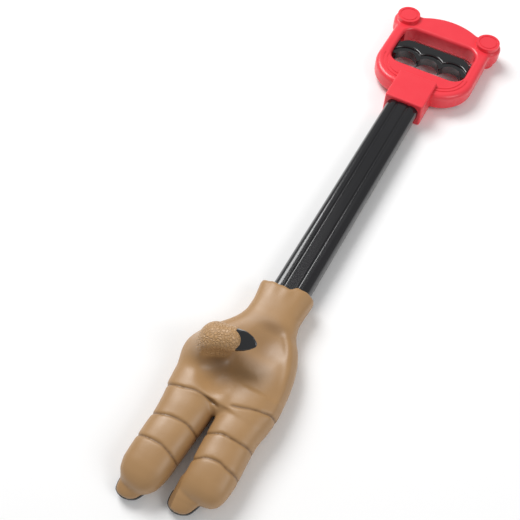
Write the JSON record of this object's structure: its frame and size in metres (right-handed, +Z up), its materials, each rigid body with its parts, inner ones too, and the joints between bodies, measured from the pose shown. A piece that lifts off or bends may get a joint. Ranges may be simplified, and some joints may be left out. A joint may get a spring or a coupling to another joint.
{
  "type": "toy reacher grabber",
  "caption": "Hand-held toy grabber: a D handle with a squeeze trigger pulls a wire through a fluted tube and closes a three-digit claw hand.",
  "frame": {"origin": "middle of the flat face on the back of the handle's collar", "axes": "+Z up out of the palm side, +Y along the tube from the hand to the handle, thumb on the -X side; the grabber lies on its back"},
  "size_m": [0.109, 0.542, 0.056],
  "materials": {
    "red_plastic": "injection moulded, satin gloss",
    "black_plastic": "injection moulded, glossy",
    "tube_black": "extruded, glossy",
    "white_nylon": "moulded",
    "brown_vinyl": "soft vinyl, satin sheen",
    "claw_black": "glossy painted vinyl",
    "zinc_steel": "zinc plated",
    "spring_steel": "drawn wire"
  },
  "bodies": {
    "grabber": {"handle_front_shell": "red_plastic", "handle_back_shell": "red_plastic", "handle_screws": "zinc_steel", "tube": "tube_black", "tube_pins": "zinc_steel", "palm_skeleton": "white_nylon", "carriage_cover": "white_nylon", "cover_screws": "zinc_steel", "knuckle_axle": "zinc_steel", "thumb_axle": "zinc_steel", "palm_skin": "brown_vinyl", "return_spring": "spring_steel"},
    "trigger_train": {"trigger": "black_plastic", "wire_anchor": "zinc_steel", "pull_wire": "spring_steel", "carriage": "white_nylon", "finger_drive_pin": "zinc_steel", "thumb_drive_pin": "zinc_steel"},
    "left_finger": {"left_finger_core": "white_nylon", "left_finger_skin": "brown_vinyl", "left_claw": "claw_black"},
    "right_finger": {"right_finger_core": "white_nylon", "right_finger_skin": "brown_vinyl", "right_claw": "claw_black"},
    "thumb": {"thumb_core": "white_nylon", "thumb_skin": "brown_vinyl", "thumb_claw": "claw_black"}
  },
  "joints": [
    {"name": "trigger_squeeze", "type": "slide", "parent": "grabber", "child": "trigger_train", "axis": [0, 1, 0], "range_m": [0, 0.011], "stiffness_N_per_m": 600, "springref_m": -0.015, "deforming": ["return_spring"]},
    {"name": "left_finger_curl", "type": "hinge", "parent": "grabber", "child": "left_finger", "pos_m": [-0.021, -0.344, 0.0095], "axis": [-1, 0, 0], "range_deg": [0, 55]},
    {"name": "right_finger_curl", "type": "hinge", "parent": "grabber", "child": "right_finger", "pos_m": [0.021, -0.344, 0.0095], "axis": [-1, 0, 0], "range_deg": [0, 55]},
    {"name": "thumb_curl", "type": "hinge", "parent": "grabber", "child": "thumb", "pos_m": [-0.029, -0.312, 0.025], "axis": [1, 0, 0], "range_deg": [0, 37.94]}
  ],
  "couplings": [
    {"joint": "left_finger_curl", "follows": "trigger_squeeze", "rad_per_m": 87.258},
    {"joint": "right_finger_curl", "follows": "trigger_squeeze", "rad_per_m": 87.258},
    {"joint": "thumb_curl", "follows": "trigger_squeeze", "rad_per_m": 60.193}
  ]
}
